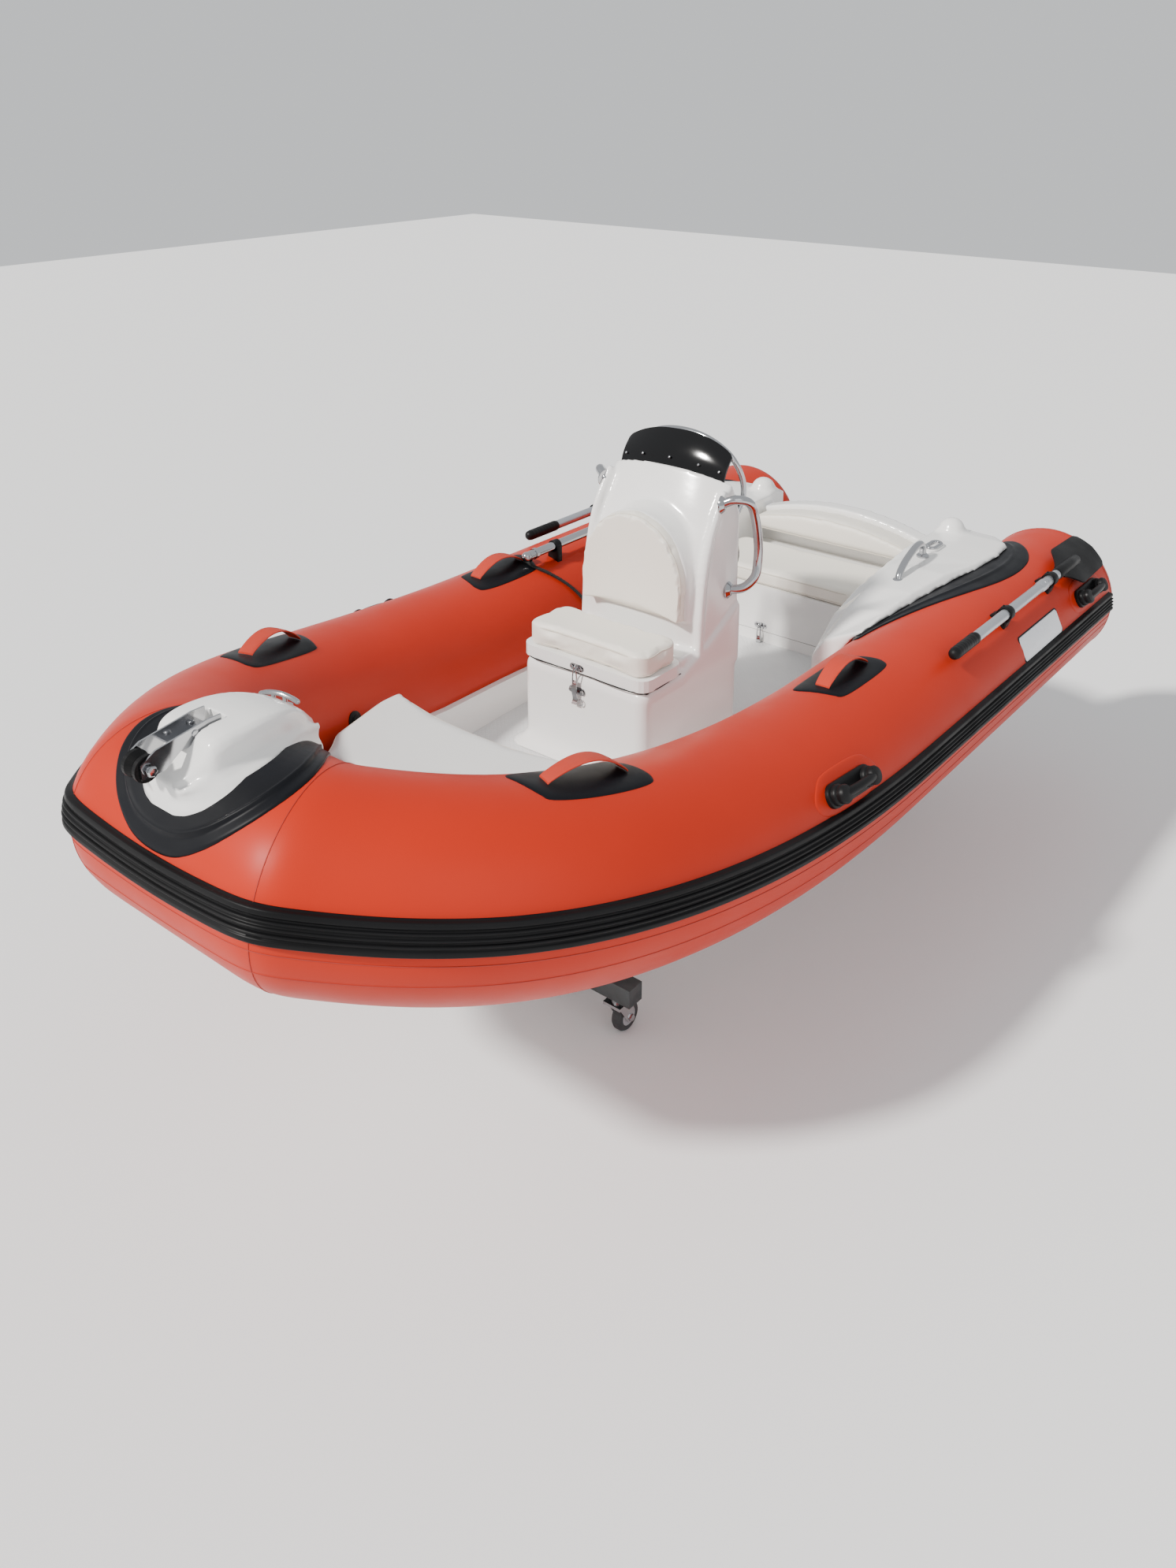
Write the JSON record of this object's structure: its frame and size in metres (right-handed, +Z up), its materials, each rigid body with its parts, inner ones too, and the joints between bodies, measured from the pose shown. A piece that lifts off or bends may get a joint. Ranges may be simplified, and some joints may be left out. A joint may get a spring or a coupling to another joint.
{
  "type": "rigid inflatable dinghy",
  "caption": "Rigid inflatable dinghy with centre console, jockey seat, bow locker and stern bench, standing on a wheeled storage cradle.",
  "frame": {"origin": "on the floor under the middle of the boat's length and breadth", "axes": "+X port, +Y aft, +Z up"},
  "size_m": [1.6284, 3.037, 1.3646],
  "materials": {
    "tube_fabric": "satin",
    "black_rubber": "satin",
    "gelcoat": "gloss",
    "vinyl": "satin",
    "stainless": "polished",
    "smoked_acrylic": "gloss",
    "alloy": "satin",
    "black_plastic": "satin",
    "webbing": "matte",
    "cradle_paint": "satin",
    "rope": "matte",
    "castor_tread": "satin"
  },
  "bodies": {
    "boat": {"tube_bow": "tube_fabric", "tube_port": "tube_fabric", "tube_starboard": "tube_fabric", "strake_bow": "black_rubber", "strake_port": "black_rubber", "strake_starboard": "black_rubber", "hull": "gelcoat", "cockpit_sole": "gelcoat", "transom_board": "black_plastic", "bow_locker": "gelcoat", "bow_gasket": "black_rubber", "bow_fairing": "gelcoat", "roller_bracket": "stainless", "console": "gelcoat", "backrest_cushion": "vinyl", "windscreen": "smoked_acrylic", "screen_hoop": "stainless", "console_rail_port": "stainless", "console_rail_starboard": "stainless", "stern_moulding": "gelcoat", "stern_gasket_port": "black_rubber", "stern_gasket_starboard": "black_rubber", "bench_box": "gelcoat", "bench_back_cushion": "vinyl", "stern_handle_port": "stainless", "stern_handle_starboard": "stainless", "front_handle_port": "webbing", "front_handle_starboard": "webbing", "middle_handle_port": "webbing", "middle_handle_starboard": "webbing", "carry_handle_fore_port": "black_plastic", "carry_handle_fore_starboard": "black_plastic", "carry_handle_aft_port": "black_plastic", "carry_handle_aft_starboard": "black_plastic", "oar_port": "alloy", "oar_starboard": "alloy", "stowed_pole": "stainless", "cradle_cross_fore": "cradle_paint", "cradle_cross_aft": "cradle_paint", "cradle_spine": "cradle_paint", "painter_line": "rope", "painter_coil": "rope"},
    "bow_lid": {"bow_locker_lid": "gelcoat", "bow_cushion": "vinyl"},
    "seat": {"seat_lid": "gelcoat", "seat_cushion": "vinyl"},
    "bench": {"bench_lid": "gelcoat", "bench_cushion": "vinyl"},
    "helm_wheel": {"steering_wheel": "black_plastic"},
    "roller": {"anchor_roller": "black_plastic"},
    "fork_fore_port": {"castor_fork_fore_port": "stainless"},
    "fork_fore_starboard": {"castor_fork_fore_starboard": "stainless"},
    "fork_aft_port": {"castor_fork_aft_port": "stainless"},
    "fork_aft_starboard": {"castor_fork_aft_starboard": "stainless"},
    "wheel_fore_port": {"castor_wheel_fore_port": "castor_tread"},
    "wheel_fore_starboard": {"castor_wheel_fore_starboard": "castor_tread"},
    "wheel_aft_port": {"castor_wheel_aft_port": "castor_tread"},
    "wheel_aft_starboard": {"castor_wheel_aft_starboard": "castor_tread"}
  },
  "joints": [
    {"name": "bow_lid_hinge", "type": "hinge", "parent": "boat", "child": "bow_lid", "pos_m": [0, -0.9815, 0.749], "axis": [1, 0, 0], "range_deg": [0, 60]},
    {"name": "seat_hinge", "type": "hinge", "parent": "boat", "child": "seat", "pos_m": [0, -0.0865, 0.825], "axis": [-1, 0, 0], "range_deg": [0, 58]},
    {"name": "bench_hinge", "type": "hinge", "parent": "boat", "child": "bench", "pos_m": [0, 0.9695, 0.721], "axis": [-1, 0, 0], "range_deg": [0, 60]},
    {"name": "steering", "type": "hinge", "parent": "boat", "child": "helm_wheel", "pos_m": [0, 0.2535, 1.02], "axis": [0, 0.9397, 0.342], "range_deg": [-540, 540]},
    {"name": "roller_spin", "type": "hinge", "parent": "boat", "child": "roller", "pos_m": [0, -1.4925, 1.073], "axis": [1, 0, 0], "continuous": true},
    {"name": "swivel_fore_port", "type": "hinge", "parent": "boat", "child": "fork_fore_port", "pos_m": [0.3, -0.4785, 0.1], "axis": [0, 0, 1], "continuous": true},
    {"name": "swivel_fore_starboard", "type": "hinge", "parent": "boat", "child": "fork_fore_starboard", "pos_m": [-0.3, -0.4785, 0.1], "axis": [0, 0, 1], "continuous": true},
    {"name": "swivel_aft_port", "type": "hinge", "parent": "boat", "child": "fork_aft_port", "pos_m": [0.3, 0.9335, 0.1], "axis": [0, 0, 1], "continuous": true},
    {"name": "swivel_aft_starboard", "type": "hinge", "parent": "boat", "child": "fork_aft_starboard", "pos_m": [-0.3, 0.9335, 0.1], "axis": [0, 0, 1], "continuous": true},
    {"name": "roll_fore_port", "type": "hinge", "parent": "fork_fore_port", "child": "wheel_fore_port", "pos_m": [0.3, -0.4545, 0.04], "axis": [1, 0, 0], "continuous": true},
    {"name": "roll_fore_starboard", "type": "hinge", "parent": "fork_fore_starboard", "child": "wheel_fore_starboard", "pos_m": [-0.3, -0.4545, 0.04], "axis": [1, 0, 0], "continuous": true},
    {"name": "roll_aft_port", "type": "hinge", "parent": "fork_aft_port", "child": "wheel_aft_port", "pos_m": [0.3, 0.9575, 0.04], "axis": [1, 0, 0], "continuous": true},
    {"name": "roll_aft_starboard", "type": "hinge", "parent": "fork_aft_starboard", "child": "wheel_aft_starboard", "pos_m": [-0.3, 0.9575, 0.04], "axis": [1, 0, 0], "continuous": true}
  ]
}
